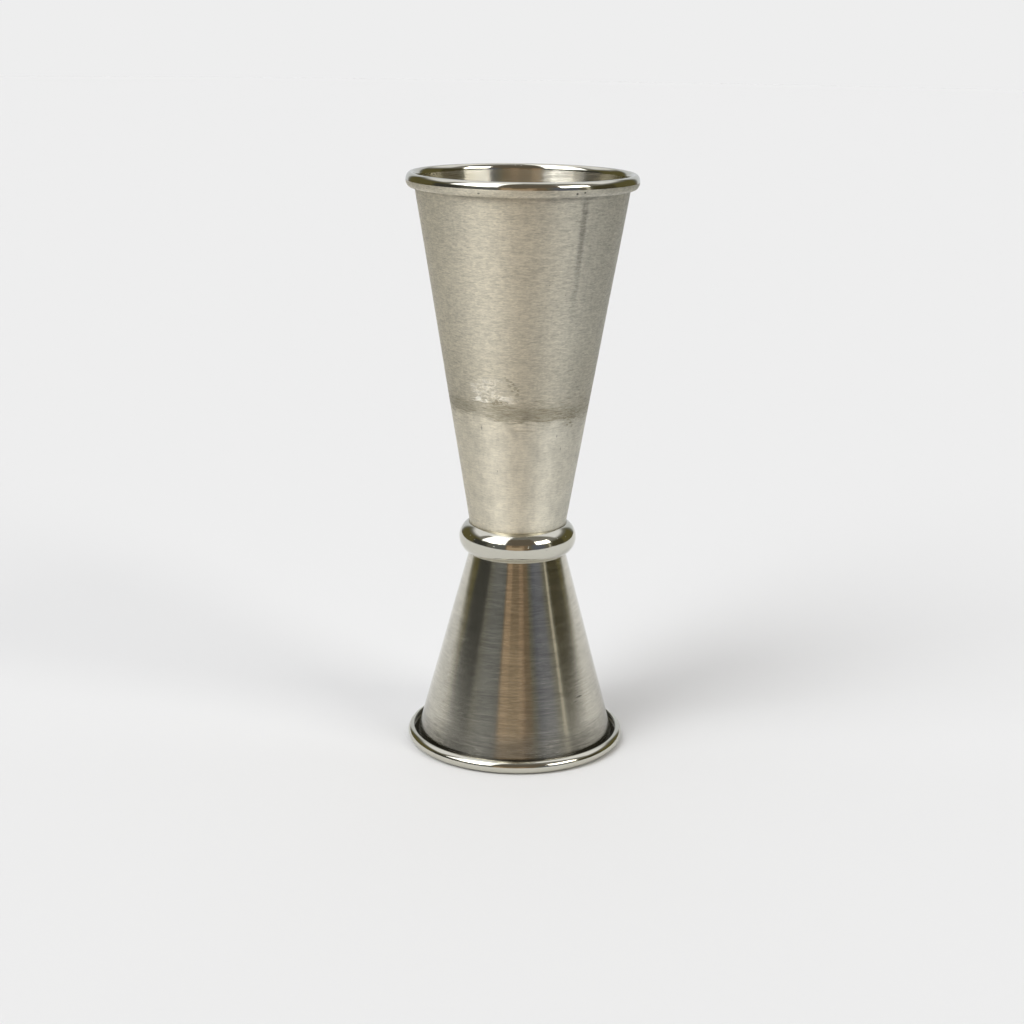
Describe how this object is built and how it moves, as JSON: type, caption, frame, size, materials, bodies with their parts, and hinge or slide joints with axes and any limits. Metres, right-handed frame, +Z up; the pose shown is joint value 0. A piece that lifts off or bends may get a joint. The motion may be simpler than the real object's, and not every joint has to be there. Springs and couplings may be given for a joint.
{
  "type": "bar jigger",
  "caption": "Double-ended bar jigger: a tall tapered measuring cup joined floor to floor with a short inverted cup, both with rolled rims, and a polished ring around the waist.",
  "frame": {"origin": "centre of the circle that the short cup's rim stands on", "axes": "+Z up along the axis of both cups, towards the tall cup's mouth; X and Y are equivalent, because the object is round"},
  "size_m": [0.0376, 0.0376, 0.096],
  "materials": {
    "satin_steel": "satin",
    "polished_steel": "polished",
    "braze_filler": "satin"
  },
  "bodies": {
    "root": {"upper_cup": "satin_steel", "lower_cup": "satin_steel", "waist_ring": "polished_steel", "floor_braze": "braze_filler", "ring_braze_upper": "braze_filler", "ring_braze_lower": "braze_filler"}
  },
  "joints": []
}
